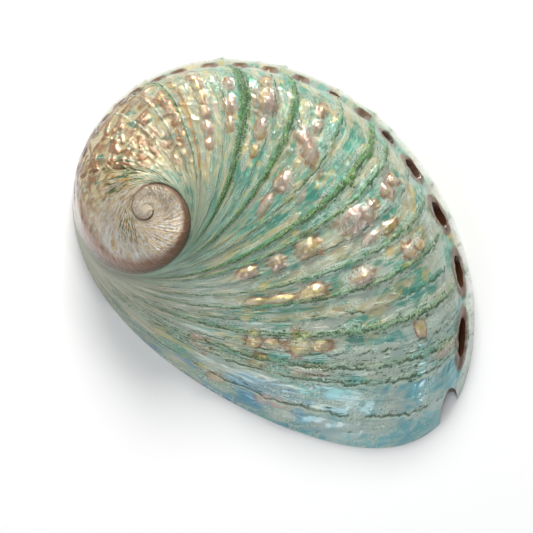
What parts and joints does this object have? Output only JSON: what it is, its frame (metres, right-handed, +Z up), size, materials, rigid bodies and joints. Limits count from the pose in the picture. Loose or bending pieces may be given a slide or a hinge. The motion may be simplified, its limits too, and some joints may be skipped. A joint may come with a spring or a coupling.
{
  "type": "abalone shell",
  "caption": "Ear-shaped abalone shell, a domed hollow cap with a low spiral spire, a curved row of holes along its shoulder and an open notch at the lip.",
  "frame": {"origin": "on the plane the rim rests on, below the centre of the bounding box", "axes": "+X along the length from the spire to the open notch, +Y to the side with the row of holes, +Z up through the dome"},
  "size_m": [0.1498, 0.107, 0.0363],
  "materials": {
    "nacre": "polished iridescent nacre"
  },
  "bodies": {
    "root": {"abalone_shell": "nacre"}
  },
  "joints": []
}
